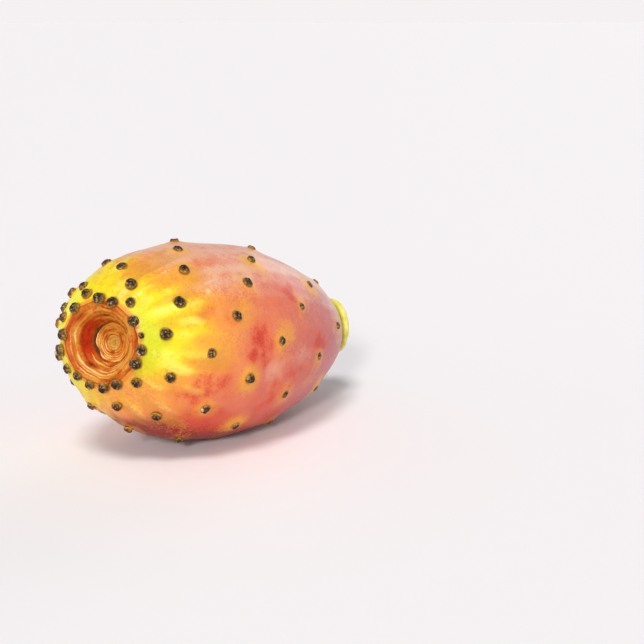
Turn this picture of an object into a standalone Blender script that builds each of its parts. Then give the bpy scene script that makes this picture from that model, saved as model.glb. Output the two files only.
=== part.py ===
"""Prickly pear fruit lying on its side.

The fruit is one grown piece: a barrel-shaped body that narrows to the stem
end, a cupped floral scar on the crown, and small felted pads, the areoles,
round the scar and in a spiral over the skin. A scrap of cactus pad is still
stuck to the stem end. Units are metres and +Z is up. The crown points towards
-X, and the origin is the middle of the flat spot that the fruit rests on.
"""

import math
import random

import bmesh
import bpy
import numpy as np
from mathutils import Matrix, Vector

MM = 0.001

# Body, measured along its axis from the widest place
GREATEST_RADIUS = 25.0 * MM
CROWN_LENGTH = 42.1 * MM
STEM_LENGTH = 43.8 * MM
RIM_RADIUS = 9.4 * MM
STEM_RADIUS = 5.5 * MM
CROWN_FULLNESS = 2.86
CROWN_SHOULDER = 1.84
STEM_TAPER = 1.43

# How the axis lies: the crown is raised, and the body bends a little
AXIS_RISE = math.radians(8.4)
SIDE_BEND = math.radians(11.3)
UP_BEND = math.radians(6.3)
CROWN_SIDE_TILT = math.radians(12.0)
CROWN_UP_TILT = math.radians(-4.9)

# Sag of the underside towards the crown
SAG_HEIGHT = 0.6 * MM
SAG_PLACE = 14.0 * MM
SAG_REACH = 14.0 * MM
SAG_ANGLE = math.radians(-165)
SAG_SPREAD = math.radians(38)

# Floral scar: radius and depth of each groove and crest from the rim inwards
SCAR_DEPTH = 4.9 * MM
SCAR_RINGS = (
    (9.0 * MM, 0.3 * MM),
    (8.6 * MM, 0.1 * MM),
    (8.1 * MM, 0.8 * MM),
    (7.6 * MM, 0.5 * MM),
    (6.9 * MM, 1.9 * MM),
    (6.2 * MM, 2.7 * MM),
    (5.7 * MM, 2.5 * MM),
    (5.1 * MM, 3.7 * MM),
    (4.6 * MM, 3.4 * MM),
    (3.9 * MM, 4.5 * MM),
    (3.4 * MM, 4.2 * MM),
    (2.8 * MM, 4.9 * MM),
    (2.4 * MM, 4.6 * MM),
    (1.2 * MM, 4.8 * MM),
)

# Areoles: two uneven rows round the scar, then a spiral down the body
RIM_AREOLES = 18
RIM_AREOLE_START = math.radians(5)
RIM_AREOLE_PLACE = 41.8 * MM
OUTER_RIM_AREOLES = (1, 3, 5, 6, 11, 16)
OUTER_RIM_STEP = 1.2 * MM
WORN_RIM_AREOLE = 14
WORN_SHARE = 0.5
SPIRAL_COUNT = 75
SPIRAL_START = math.radians(280.7)
SPIRAL_TURN = math.radians(137.547)
SPIRAL_TOP = 40.1 * MM
SPIRAL_NEAREST = 38.2 * MM
SPIRAL_STEP = 0.628 * MM
SPIRAL_GROWTH = 0.0114 * MM
SPIRAL_LEAN = 4.46 * MM
SPIRAL_LEAN_ANGLE = math.radians(48)
SPIRAL_PINCH = 5.08 * MM
SPIRAL_PINCH_ANGLE = math.radians(-54.8)
SPIRAL_LEAN_REACH = 15.0 * MM
SPIRAL_SPREAD = math.radians(8.65)
SPIRAL_SPREAD_ANGLE = math.radians(-97.4)
SPIRAL_SPREAD_REACH = 25.0 * MM
SPIRAL_END = -38.0 * MM
CROWN_AREOLE_RADIUS = 1.45 * MM
STEM_AREOLE_RADIUS = 0.95 * MM
CROWN_AREOLE_HEIGHT = 1.4 * MM
STEM_AREOLE_HEIGHT = 0.7 * MM
AREOLE_SIDES = 8
# Share of the radius and of the height, from the sunk root to the top of the dome
AREOLE_PROFILE = ((0.75, -0.9), (1.0, 0.25), (0.82, 0.75), (0.35, 1.0))
TUBERCLE_HEIGHT = 0.45 * MM
TUBERCLE_REACH = 4.6 * MM

# Resting spot
REST_DEPTH = 0.6 * MM

# Scrap of pad on the stem end: radius and distance from its fruit side
SCRAP_GAP = 0.3 * MM
SCRAP_WIDTH_SCALE = 0.92
SCRAP_LIFT = 0.5 * MM
SCRAP_RINGS = (
    (6.6 * MM, 0.0 * MM),
    (7.7 * MM, 0.35 * MM),
    (8.2 * MM, 1.2 * MM),
    (7.8 * MM, 2.1 * MM),
    (7.0 * MM, 2.5 * MM),
    (6.0 * MM, 2.2 * MM),
    (4.4 * MM, 1.5 * MM),
    (2.0 * MM, 1.3 * MM),
)

# Mesh fineness
AROUND = 60
CROWN_STATIONS = 17
STEM_STATIONS = 15
SCRAP_AROUND = 36
SEED = 11


def clear_scene():
    """Remove every object of the open file."""
    for item in list(bpy.data.objects):
        bpy.data.objects.remove(item, do_unlink=True)


def axis_direction(s, side_tilt=0.0, up_tilt=0.0):
    """Direction of the axis towards the crown at distance s from the widest place."""
    length = CROWN_LENGTH + STEM_LENGTH
    turn = SIDE_BEND * s / length + side_tilt
    rise = AXIS_RISE + UP_BEND * s / length + up_tilt
    level = math.cos(rise)
    return Vector((-math.cos(turn) * level, -math.sin(turn) * level, math.sin(rise)))


def axis_point(s, steps=40):
    """Point of the bent axis, summed in short straight steps from s = 0."""
    point = Vector((0, 0, 0))
    for i in range(steps):
        point += axis_direction(s * (i + 0.5) / steps) * (s / steps)
    return point


def cross_directions(normal):
    """Up and sideways directions of a section with this normal."""
    up = Vector((0, 0, 1))
    up = (up - normal * up.dot(normal)).normalized()
    return up, normal.cross(up)


def section(s):
    """Centre, up and sideways directions of the section at s."""
    lean = max(s / CROWN_LENGTH, 0.0) ** 2
    normal = axis_direction(s, CROWN_SIDE_TILT * lean, CROWN_UP_TILT * lean)
    return (axis_point(s), *cross_directions(normal))


def plain_radius(s):
    """Radius of the body at s, before sag and tubercles."""
    if s >= 0:
        share = 1 - (RIM_RADIUS / GREATEST_RADIUS) ** CROWN_SHOULDER
        fall = share * (s / CROWN_LENGTH) ** CROWN_FULLNESS
        return GREATEST_RADIUS * (1 - fall) ** (1 / CROWN_SHOULDER)
    share = 1 - (STEM_RADIUS / GREATEST_RADIUS) ** 2
    return GREATEST_RADIUS * (1 - share * (-s / STEM_LENGTH) ** STEM_TAPER) ** 0.5


def sag(s, angle):
    """How far the underside bulges at this place."""
    away = math.remainder(angle - SAG_ANGLE, math.tau)
    along = (s - SAG_PLACE) / SAG_REACH
    return SAG_HEIGHT * math.exp(-along**2 - (away / SAG_SPREAD) ** 2)


def skin_point(s, angle, raised=0.0):
    """Point of the skin at distance s and angle, which is 0 at the top."""
    centre, up, sideways = section(s)
    radius = plain_radius(s) + sag(s, angle) + raised
    return centre + radius * (math.cos(angle) * up + math.sin(angle) * sideways)


def skin_normal(s, angle):
    """Outward direction of the smooth skin."""
    step = 0.2 * MM
    turn = 0.01
    along = skin_point(s + step, angle) - skin_point(s - step, angle)
    across = skin_point(s, angle + turn) - skin_point(s, angle - turn)
    return across.cross(along).normalized()


def share_to_crown(s):
    """0 at the stem end and 1 at the crown."""
    return (s + STEM_LENGTH) / (CROWN_LENGTH + STEM_LENGTH)


def spiral_place(count):
    """Distance and angle of one areole of the spiral, which leans to one side."""
    angle = SPIRAL_START + SPIRAL_TURN * count
    s = SPIRAL_TOP - SPIRAL_STEP * count - SPIRAL_GROWTH * count**2
    reached = min((SPIRAL_TOP - s) / SPIRAL_LEAN_REACH, 1.0)
    lean = SPIRAL_LEAN * math.cos(angle - SPIRAL_LEAN_ANGLE)
    pinch = SPIRAL_PINCH * math.sin(angle - SPIRAL_PINCH_ANGLE) ** 2
    s = min(s + reached * (lean + pinch), SPIRAL_NEAREST)
    near_crown = min(max(s / SPIRAL_SPREAD_REACH, 0.0), 1.0)
    return s, angle + SPIRAL_SPREAD * math.sin(angle - SPIRAL_SPREAD_ANGLE) * near_crown


def areole_places():
    """Distance, angle, radius and height of every areole."""
    draw = random.Random(SEED)
    places = []
    for i in range(RIM_AREOLES):
        angle = RIM_AREOLE_START + math.tau * i / RIM_AREOLES + draw.uniform(-0.03, 0.03)
        s = RIM_AREOLE_PLACE + draw.uniform(-0.2, 0.2) * MM
        size = draw.uniform(0.85, 1.1)
        if i in OUTER_RIM_AREOLES:
            s -= OUTER_RIM_STEP
        if i == WORN_RIM_AREOLE:
            size *= WORN_SHARE
        places.append((s, angle, CROWN_AREOLE_RADIUS * size, CROWN_AREOLE_HEIGHT * size))
    for count in range(SPIRAL_COUNT):
        s, angle = spiral_place(count)
        size = draw.uniform(0.9, 1.1)
        if s > SPIRAL_END:
            share = share_to_crown(s)
            radius = STEM_AREOLE_RADIUS + (CROWN_AREOLE_RADIUS - STEM_AREOLE_RADIUS) * share
            height = STEM_AREOLE_HEIGHT + (CROWN_AREOLE_HEIGHT - STEM_AREOLE_HEIGHT) * share
            places.append((s, angle, radius * size, height * size))
    return places


def tubercles(points, places):
    """How far each point is raised by the low mounds under the areoles."""
    tops = np.array([skin_point(s, angle) for s, angle, _, _ in places])
    gaps = np.linalg.norm(points[:, None, :] - tops[None, :, :], axis=2)
    mounds = np.exp(-((gaps / TUBERCLE_REACH) ** 2))
    return (TUBERCLE_HEIGHT * (1 - np.prod(1 - mounds, axis=1))).tolist()


def stations():
    """Distances of the rings of the body, closer together at both ends."""
    quarter = math.pi / 2
    to_stem = [-STEM_LENGTH * math.sin(quarter * i / STEM_STATIONS) for i in range(1, STEM_STATIONS + 1)]
    to_crown = [CROWN_LENGTH * math.sin(quarter * i / CROWN_STATIONS) for i in range(CROWN_STATIONS + 1)]
    return to_stem[::-1] + to_crown


def angles(count):
    """Evenly spaced angles, starting at the top."""
    return [math.tau * i / count for i in range(count)]


def circle(centre, radius, up, sideways, count):
    """Ring of points round a centre, in the plane of two directions."""
    return [centre + radius * (math.cos(a) * up + math.sin(a) * sideways) for a in angles(count)]


def skin_rings(places):
    """Rings of points of the outer skin, from the stem end to the rim."""
    grid = [(s, angle) for s in stations() for angle in angles(AROUND)]
    plain = np.array([skin_point(s, angle) for s, angle in grid])
    raised = tubercles(plain, places)
    points = [skin_point(s, angle, up) for (s, angle), up in zip(grid, raised)]
    return [points[i : i + AROUND] for i in range(0, len(points), AROUND)]


def scar_rings():
    """Rings of the floral scar, which is cupped along the fruit's own axis."""
    rim_centre = axis_point(CROWN_LENGTH)
    inward = axis_direction(CROWN_LENGTH)
    outward = axis_direction(CROWN_LENGTH, CROWN_SIDE_TILT, CROWN_UP_TILT)
    rings = []
    for radius, depth in SCAR_RINGS:
        normal = outward.lerp(inward, depth / SCAR_DEPTH).normalized()
        up, sideways = cross_directions(normal)
        rings.append(circle(rim_centre - inward * depth, radius, up, sideways, AROUND))
    return rings


def mesh_from_rings(name, rings):
    """Closed object whose rings are bridged in turn and capped at both ends."""
    build = bmesh.new()
    loops = [[build.verts.new(point) for point in ring] for ring in rings]
    for low, high in zip(loops, loops[1:]):
        for i in range(len(low)):
            j = (i + 1) % len(low)
            build.faces.new((low[i], low[j], high[j], high[i]))
    build.faces.new(loops[0])
    build.faces.new(loops[-1])
    bmesh.ops.recalc_face_normals(build, faces=build.faces)
    mesh = bpy.data.meshes.new(name)
    build.to_mesh(mesh)
    build.free()
    return bpy.data.objects.new(name, mesh)


def make_areole(index, place):
    """One domed areole with its root sunk into the skin."""
    s, angle, radius, height = place
    outward = skin_normal(s, angle)
    across, along = cross_directions(outward)
    base = skin_point(s, angle, TUBERCLE_HEIGHT)
    rings = []
    for share, level in AREOLE_PROFILE:
        rings.append(circle(base + outward * height * level, radius * share, across, along, AREOLE_SIDES))
    return mesh_from_rings(f"areole_{index}", rings)


def join_areoles(fruit, places):
    """Fuse all areoles into the fruit with one union."""
    group = bpy.data.collections.new("areoles")
    bpy.context.scene.collection.children.link(group)
    for index, place in enumerate(places):
        group.objects.link(make_areole(index, place))
    union = fruit.modifiers.new("areoles", "BOOLEAN")
    union.operation = "UNION"
    union.solver = "EXACT"
    union.operand_type = "COLLECTION"
    union.collection = group
    bpy.context.view_layer.objects.active = fruit
    bpy.ops.object.modifier_apply(modifier=union.name)
    for item in list(group.objects):
        bpy.data.objects.remove(item, do_unlink=True)
    bpy.data.collections.remove(group)


def flatten_rest(fruit, level):
    """Cut the resting spot at this height and return its middle."""
    build = bmesh.new()
    build.from_mesh(fruit.data)
    geometry = build.verts[:] + build.edges[:] + build.faces[:]
    cut = bmesh.ops.bisect_plane(
        build, geom=geometry, dist=1e-7, plane_co=(0, 0, level), plane_no=(0, 0, -1), clear_outer=True
    )
    edges = [item for item in cut["geom_cut"] if isinstance(item, bmesh.types.BMEdge)]
    faces = bmesh.ops.contextual_create(build, geom=edges)["faces"]
    middle = max(faces, key=lambda face: face.calc_area()).calc_center_median_weighted()
    bmesh.ops.recalc_face_normals(build, faces=build.faces)
    build.to_mesh(fruit.data)
    build.free()
    return middle


def make_fruit():
    """The whole fruit and the middle of its resting spot."""
    places = areole_places()
    fruit = mesh_from_rings("fruit", skin_rings(places) + scar_rings())
    bpy.context.scene.collection.objects.link(fruit)
    level = min(vert.co.z for vert in fruit.data.vertices) + REST_DEPTH
    join_areoles(fruit, places)
    middle = flatten_rest(fruit, level)
    return fruit, middle


def make_pad_scrap():
    """Dished scrap of cactus pad, just clear of the fruit's stem end."""
    inward = axis_direction(-STEM_LENGTH)
    up, sideways = cross_directions(inward)
    start = axis_point(-STEM_LENGTH) - inward * SCRAP_GAP + up * SCRAP_LIFT
    rings = []
    for radius, depth in SCRAP_RINGS:
        ring = []
        for a in angles(SCRAP_AROUND):
            uneven = radius * (1 + 0.03 * math.cos(2 * a + 0.8) + 0.025 * math.cos(3 * a))
            out = uneven * (math.cos(a) * up + SCRAP_WIDTH_SCALE * math.sin(a) * sideways)
            ring.append(start - inward * depth + out)
        rings.append(ring)
    scrap = mesh_from_rings("pad_scrap", rings)
    bpy.context.scene.collection.objects.link(scrap)
    return scrap


def finish(piece, name, colour, roughness):
    """Give a piece its material and smooth shading."""
    material = bpy.data.materials.new(name)
    material.use_nodes = True
    shader = material.node_tree.nodes["Principled BSDF"]
    shader.inputs["Base Color"].default_value = (*colour, 1)
    shader.inputs["Roughness"].default_value = roughness
    shader.inputs["Metallic"].default_value = 0.0
    piece.data.materials.clear()
    piece.data.materials.append(material)
    piece.data.shade_smooth()
    piece.data.set_sharp_from_angle(angle=math.radians(50))


def main():
    clear_scene()
    fruit, rest = make_fruit()
    scrap = make_pad_scrap()
    finish(fruit, "fruit_skin", (0.72, 0.27, 0.11), 0.38)
    finish(scrap, "pad_skin", (0.48, 0.50, 0.14), 0.55)
    for piece in (fruit, scrap):
        piece.data.transform(Matrix.Translation(-rest))
    print("resting spot middle", [round(value / MM, 3) for value in rest], "mm")
    print("fruit faces", len(fruit.data.polygons), "size mm", [round(v / MM, 1) for v in fruit.dimensions])


main()
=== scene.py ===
import math
import random

import bmesh
import bpy
import numpy as np
from mathutils import Matrix, Vector, noise


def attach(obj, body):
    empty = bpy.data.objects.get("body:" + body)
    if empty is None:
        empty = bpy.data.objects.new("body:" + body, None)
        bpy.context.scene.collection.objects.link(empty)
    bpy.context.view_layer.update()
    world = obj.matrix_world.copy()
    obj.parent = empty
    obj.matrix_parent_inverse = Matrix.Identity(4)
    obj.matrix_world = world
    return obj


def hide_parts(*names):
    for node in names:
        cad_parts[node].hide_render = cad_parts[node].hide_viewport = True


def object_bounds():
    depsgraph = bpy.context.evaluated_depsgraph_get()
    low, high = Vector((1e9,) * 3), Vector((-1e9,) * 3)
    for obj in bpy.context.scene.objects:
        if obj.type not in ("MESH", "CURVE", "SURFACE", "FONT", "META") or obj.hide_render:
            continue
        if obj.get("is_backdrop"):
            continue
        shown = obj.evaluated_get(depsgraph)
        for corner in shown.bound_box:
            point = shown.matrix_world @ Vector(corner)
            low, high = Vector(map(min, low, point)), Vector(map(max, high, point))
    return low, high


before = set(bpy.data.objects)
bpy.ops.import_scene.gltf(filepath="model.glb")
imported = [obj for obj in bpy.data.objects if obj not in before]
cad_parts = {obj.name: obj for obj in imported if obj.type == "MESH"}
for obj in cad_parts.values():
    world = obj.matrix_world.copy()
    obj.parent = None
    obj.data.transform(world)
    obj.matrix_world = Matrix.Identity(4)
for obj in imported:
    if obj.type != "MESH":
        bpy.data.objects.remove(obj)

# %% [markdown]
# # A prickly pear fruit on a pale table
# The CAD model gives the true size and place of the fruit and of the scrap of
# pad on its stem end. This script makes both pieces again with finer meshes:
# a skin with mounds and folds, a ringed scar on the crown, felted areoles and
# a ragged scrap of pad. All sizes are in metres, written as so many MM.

MM = 0.001
DEGREE = math.pi / 180
scene = bpy.context.scene
cad_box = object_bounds()
print("CAD box, mm:", [[round(value / MM, 1) for value in corner] for corner in cad_box])

# %% [markdown]
# ## The body's form
# The real fruit is a barrel that narrows to the stem. Its axis bends a little
# and the crown is cut off slightly askew. A straight turned shape could be
# bent with a modifier, but a formula for the axis lets every later step ask
# where the skin is. `along` runs from the stem end to the crown with 0 at the
# widest place, and `angle` runs round the axis with 0 at the top.

# %% Driving sizes, the same as in the CAD
GREATEST_RADIUS = 25.0 * MM
CROWN_LENGTH = 42.1 * MM
STEM_LENGTH = 43.8 * MM
RIM_RADIUS = 9.4 * MM
STEM_RADIUS = 5.5 * MM
CROWN_FULLNESS = 2.86
CROWN_SHOULDER = 1.84
STEM_TAPER = 1.43
AXIS_RISE = 8.4 * DEGREE
SIDE_BEND = 11.3 * DEGREE
UP_BEND = 6.3 * DEGREE
CROWN_SIDE_TILT = 12.0 * DEGREE
CROWN_UP_TILT = -4.9 * DEGREE
SAG_HEIGHT = 0.6 * MM
SAG_PLACE = 14.0 * MM
SAG_REACH = 14.0 * MM
SAG_ANGLE = -165 * DEGREE
SAG_SPREAD = 38 * DEGREE
# Middle of the flat resting spot, seen from the middle of the widest section
REST_MIDDLE = np.array((0.54, -0.42, -24.45)) * MM
BODY_LENGTH = CROWN_LENGTH + STEM_LENGTH


# %% The axis and the smooth skin
def axis_direction(along, side_tilt=0.0, up_tilt=0.0):
    """Direction of the axis towards the crown."""
    turn = SIDE_BEND * along / BODY_LENGTH + side_tilt
    rise = AXIS_RISE + UP_BEND * along / BODY_LENGTH + up_tilt
    level = np.cos(rise)
    return np.stack((-np.cos(turn) * level, -np.sin(turn) * level, np.sin(rise)), axis=-1)


AXIS_STEPS = np.linspace(-STEM_LENGTH, CROWN_LENGTH, 1001)
walk = np.cumsum(axis_direction(AXIS_STEPS), axis=0) * (AXIS_STEPS[1] - AXIS_STEPS[0])
walk -= [np.interp(0.0, AXIS_STEPS, walk[:, i]) for i in range(3)]


def axis_point(along):
    """Point of the bent axis in the CAD frame."""
    return np.stack([np.interp(along, AXIS_STEPS, walk[:, i]) for i in range(3)], axis=-1) - REST_MIDDLE


def cross_directions(normal):
    """Up and sideways directions of a section with this normal."""
    up = np.array((0.0, 0.0, 1.0)) - normal * normal[..., 2:3]
    up = up / np.linalg.norm(up, axis=-1, keepdims=True)
    return up, np.cross(normal, up)


def ring_point(centre, normal, angle, radius):
    """Point at this angle and radius in a section."""
    up, sideways = cross_directions(normal)
    out = np.cos(angle)[..., None] * up + np.sin(angle)[..., None] * sideways
    return centre + radius[..., None] * out


def plain_radius(along):
    """Radius of the body before sag, mounds and folds."""
    crown_share = 1 - (RIM_RADIUS / GREATEST_RADIUS) ** CROWN_SHOULDER
    stem_share = 1 - (STEM_RADIUS / GREATEST_RADIUS) ** 2
    crown = 1 - crown_share * np.clip(along / CROWN_LENGTH, 0, 1) ** CROWN_FULLNESS
    stem = 1 - stem_share * np.clip(-along / STEM_LENGTH, 0, 1) ** STEM_TAPER
    return GREATEST_RADIUS * crown ** (1 / CROWN_SHOULDER) * stem**0.5


def turn_between(angle, other):
    """Signed turn from one angle to another."""
    return (angle - other + math.pi) % math.tau - math.pi


def sag(along, angle):
    """Bulge of the underside near the crown."""
    away = turn_between(angle, SAG_ANGLE) / SAG_SPREAD
    return SAG_HEIGHT * np.exp(-(((along - SAG_PLACE) / SAG_REACH) ** 2) - away**2)


def skin_point(along, angle, raised=0.0, share=1.0):
    """Point of the skin, raised by this much; share is under 1 on the stem scar."""
    lean = np.clip(along / CROWN_LENGTH, 0, 1) ** 2
    normal = axis_direction(along, CROWN_SIDE_TILT * lean, CROWN_UP_TILT * lean)
    radius = (plain_radius(along) + sag(along, angle) + raised) * share
    return ring_point(axis_point(along), normal, angle, radius)


def skin_normal(along, angle):
    """Outward direction of the smooth skin."""
    step, turn = 0.2 * MM, 0.01
    down = skin_point(along + step, angle) - skin_point(along - step, angle)
    across = skin_point(along, angle + turn) - skin_point(along, angle - turn)
    normal = np.cross(across, down)
    return normal / np.linalg.norm(normal, axis=-1, keepdims=True)


print("middle of the rim, mm:", np.round(axis_point(CROWN_LENGTH) / MM, 1))

# %% [markdown]
# ## Where the areoles sit
# An areole is the felted cushion that a cactus grows its bristles from. On the
# fruit they follow one spiral, as seeds do on a sunflower: each is turned by
# the same angle from the one before, and they stand further apart towards the
# stem. The fruit grew lopsided, so the spiral leans and is pinched a little.
# Round the scar the areoles crowd into two uneven rows, where one is worn down
# to a nub. A rule with small seeded draws gives these places, which are the
# same as in the CAD.

# %% Places of the areoles
SEED = 11
RIM_AREOLES = 18
RIM_AREOLE_START = 5 * DEGREE
RIM_AREOLE_PLACE = 41.8 * MM
OUTER_RIM_AREOLES = (1, 3, 5, 6, 11, 16)
OUTER_RIM_STEP = 1.2 * MM
WORN_RIM_AREOLE = 14
WORN_SHARE = 0.5
SPIRAL_COUNT = 75
SPIRAL_START = 280.7 * DEGREE
SPIRAL_TURN = 137.547 * DEGREE
SPIRAL_TOP = 40.1 * MM
SPIRAL_NEAREST = 38.2 * MM
SPIRAL_STEP = 0.628 * MM
SPIRAL_GROWTH = 0.0114 * MM
SPIRAL_LEAN = 4.46 * MM
SPIRAL_LEAN_ANGLE = 48 * DEGREE
SPIRAL_PINCH = 5.08 * MM
SPIRAL_PINCH_ANGLE = -54.8 * DEGREE
SPIRAL_LEAN_REACH = 15.0 * MM
SPIRAL_SPREAD = 8.65 * DEGREE
SPIRAL_SPREAD_ANGLE = -97.4 * DEGREE
SPIRAL_SPREAD_REACH = 25.0 * MM
SPIRAL_END = -38.0 * MM
CROWN_AREOLE_RADIUS = 1.45 * MM
STEM_AREOLE_RADIUS = 0.95 * MM
CROWN_AREOLE_HEIGHT = 1.4 * MM
STEM_AREOLE_HEIGHT = 0.7 * MM
TUBERCLE_HEIGHT = 0.45 * MM
TUBERCLE_REACH = 4.6 * MM


def spiral_place(count):
    """Distance along and angle of one areole of the spiral."""
    angle = SPIRAL_START + SPIRAL_TURN * count
    along = SPIRAL_TOP - SPIRAL_STEP * count - SPIRAL_GROWTH * count**2
    reached = min((SPIRAL_TOP - along) / SPIRAL_LEAN_REACH, 1.0)
    lean = SPIRAL_LEAN * math.cos(angle - SPIRAL_LEAN_ANGLE)
    pinch = SPIRAL_PINCH * math.sin(angle - SPIRAL_PINCH_ANGLE) ** 2
    along = min(along + reached * (lean + pinch), SPIRAL_NEAREST)
    near_crown = min(max(along / SPIRAL_SPREAD_REACH, 0.0), 1.0)
    return along, angle + SPIRAL_SPREAD * math.sin(angle - SPIRAL_SPREAD_ANGLE) * near_crown


def areole_places():
    """Distance along, angle, radius and height of every areole."""
    draw = random.Random(SEED)
    places = []
    for i in range(RIM_AREOLES):
        angle = RIM_AREOLE_START + math.tau * i / RIM_AREOLES + draw.uniform(-0.03, 0.03)
        along = RIM_AREOLE_PLACE + draw.uniform(-0.2, 0.2) * MM
        size = draw.uniform(0.85, 1.1)
        if i in OUTER_RIM_AREOLES:
            along -= OUTER_RIM_STEP
        if i == WORN_RIM_AREOLE:
            size *= WORN_SHARE
        places.append((along, angle, CROWN_AREOLE_RADIUS * size, CROWN_AREOLE_HEIGHT * size))
    for count in range(SPIRAL_COUNT):
        along, angle = spiral_place(count)
        size = draw.uniform(0.9, 1.1)
        if along > SPIRAL_END:
            share = (along + STEM_LENGTH) / BODY_LENGTH
            radius = STEM_AREOLE_RADIUS + (CROWN_AREOLE_RADIUS - STEM_AREOLE_RADIUS) * share
            height = STEM_AREOLE_HEIGHT + (CROWN_AREOLE_HEIGHT - STEM_AREOLE_HEIGHT) * share
            places.append((along, angle, radius * size, height * size))
    return np.array(places)


areoles = areole_places()
areole_feet = skin_point(areoles[:, 0], areoles[:, 1])
print("areoles:", len(areoles))

# %% [markdown]
# ## The turned blank
# The fruit starts as a potter would start it: half its outline is spun round
# the X axis. The chain runs from the middle of the stem end over the body to
# the rim and down into the floral scar. Every point is then moved to its true
# place, so the spin only has to give an even net of faces.

# %% Outline of the blank and the spin
AROUND = 280
BODY_STATIONS = 236
SCAR_STATIONS = 84
STEM_END_STATIONS = 6


def even_stations(count):
    """Distances along the body that lie evenly on its curved outline."""
    fine = np.linspace(-STEM_LENGTH, CROWN_LENGTH, 4001)
    path = np.concatenate(((0,), np.cumsum(np.hypot(np.diff(fine), np.diff(plain_radius(fine))))))
    return np.interp(np.linspace(0, path[-1], count), path, fine)


def finish_mesh(build, name):
    """Mesh of this name from what was built."""
    mesh = bpy.data.meshes.new(name)
    build.to_mesh(mesh)
    build.free()
    return mesh


def spin_chain(name, chain, around):
    """Mesh of a chain of (x, radius) points spun full circle round the X axis."""
    build = bmesh.new()
    dots = [build.verts.new((x, 0, radius)) for x, radius in chain]
    lines = [build.edges.new(pair) for pair in zip(dots, dots[1:])]
    turn = {"axis": (1, 0, 0), "cent": (0, 0, 0), "steps": around, "angle": math.tau}
    bmesh.ops.spin(build, geom=dots + lines, use_merge=True, **turn)
    bmesh.ops.remove_doubles(build, verts=build.verts, dist=0.0005 * MM)
    return finish_mesh(build, name)


def get_points(mesh):
    """Vertex positions of a mesh as an array."""
    flat = np.empty(len(mesh.vertices) * 3)
    mesh.vertices.foreach_get("co", flat)
    return flat.reshape(-1, 3)


def set_points(mesh, points):
    """Move the vertices of a mesh to these positions."""
    mesh.vertices.foreach_set("co", np.ascontiguousarray(points, dtype=np.float32).ravel())
    mesh.update()


def face_out(mesh):
    """Turn all faces outwards on a closed mesh whose doubles are merged."""
    build = bmesh.new()
    build.from_mesh(mesh)
    bmesh.ops.recalc_face_normals(build, faces=build.faces)
    build.to_mesh(mesh)
    build.free()


def put_in_scene(name, data):
    """New object that shows this mesh, light or camera."""
    thing = bpy.data.objects.new(name, data)
    scene.collection.objects.link(thing)
    return thing


def new_piece(name, mesh, node):
    """Put a mesh in the scene as a smooth piece that stands for a CAD node."""
    mesh.name = name
    piece = put_in_scene(name, mesh)
    mesh.shade_smooth()
    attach(piece, "root")
    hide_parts(node)


body_places = even_stations(BODY_STATIONS)
body_chain = list(zip(body_places, plain_radius(body_places)))
scar_radii = np.linspace(RIM_RADIUS, 0, SCAR_STATIONS + 1)[1:]
scar_chain = [(CROWN_LENGTH + RIM_RADIUS - radius, radius) for radius in scar_radii]
stem_radii = np.linspace(0, STEM_RADIUS, STEM_END_STATIONS + 1)[:-1]
stem_chain = [(-STEM_LENGTH - STEM_RADIUS + radius, radius) for radius in stem_radii]
skin_mesh = spin_chain("fruit_skin", stem_chain + body_chain + scar_chain, AROUND)
print("blank:", len(skin_mesh.vertices), "points")

# %% [markdown]
# ## Mounds and folds of the skin
# Each areole sits on a low mound, the tubercle. Between the mounds near the
# crown the skin is gathered in shallow folds that run along the fruit, and
# they catch the light in short bright streaks. Noise stretched along the fruit
# makes a low pleating. On top of it come single ridges, which are named one by
# one where they face the camera and drawn with a seed on the rest. All this
# could be painted as bump, but bump leaves the outline smooth, so the points
# themselves are moved.


# %% Helpers for relief
def noise_field(points, size, shift=0.0):
    """Smooth noise from -1 to 1 whose patches are about this size."""
    scaled = points / size + shift
    return np.fromiter((noise.noise(Vector(spot)) for spot in scaled), float, len(points))


def smooth_step(low, high, value):
    """0 below low, 1 above high and an S curve between them."""
    share = np.clip((value - low) / (high - low), 0, 1)
    return share * share * (3 - 2 * share)


def nearest_areole(points):
    """Distance to the nearest areole's middle and that areole's number."""
    best = np.full(len(points), 1.0)
    index = np.zeros(len(points), int)
    for i, foot in enumerate(areole_feet):
        gap = np.linalg.norm(points - foot, axis=1)
        closer = gap < best
        best[closer], index[closer] = gap[closer], i
    return best, index


def mounds(points):
    """Height of the low mounds under the areoles."""
    left = np.ones(len(points))
    for foot in areole_feet:
        left *= 1 - np.exp(-((np.linalg.norm(points - foot, axis=1) / TUBERCLE_REACH) ** 2))
    return TUBERCLE_HEIGHT * (1 - left)


def one_fold(place, turn, length, width, height):
    """Height of one soft ridge along the fruit, which wanders a little."""
    away = (along - place * MM) / (length * MM)
    across = turn_between(angle, turn * DEGREE) * plain_radius(along) + FOLD_WANDER * fold_noise
    return height * MM * np.exp(-(away**2) - (across / (width * MM)) ** 2)


# %% Relief of the skin
# Folds that face the camera: place along and angle, half length, half width, height
FOLDS = (
    (32.4, -69, 3.4, 1.3, 0.50), (35.2, -78, 4.2, 1.2, 0.38), (35.6, -105, 4.0, 1.5, 0.50),
    (38.6, -126, 3.0, 1.3, 0.42), (38.0, -31, 4.6, 0.9, 0.34), (36.6, -57, 4.2, 1.5, 0.42),
    (30.2, -56, 3.6, 1.6, 0.34), (38.4, -95, 3.4, 1.6, 0.38), (31.4, -92, 4.2, 1.6, 0.34),
    (39.2, -10, 3.4, 1.5, 0.36), (34.0, -42, 4.6, 1.6, 0.30), (34.0, -140, 4.6, 1.7, 0.36),
    (30.4, -117, 4.2, 1.6, 0.34), (25.6, -64, 3.4, 1.5, 0.26), (36.5, -158, 3.6, 1.4, 0.34),
)
FOLD_WANDER = 0.5 * MM
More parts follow.
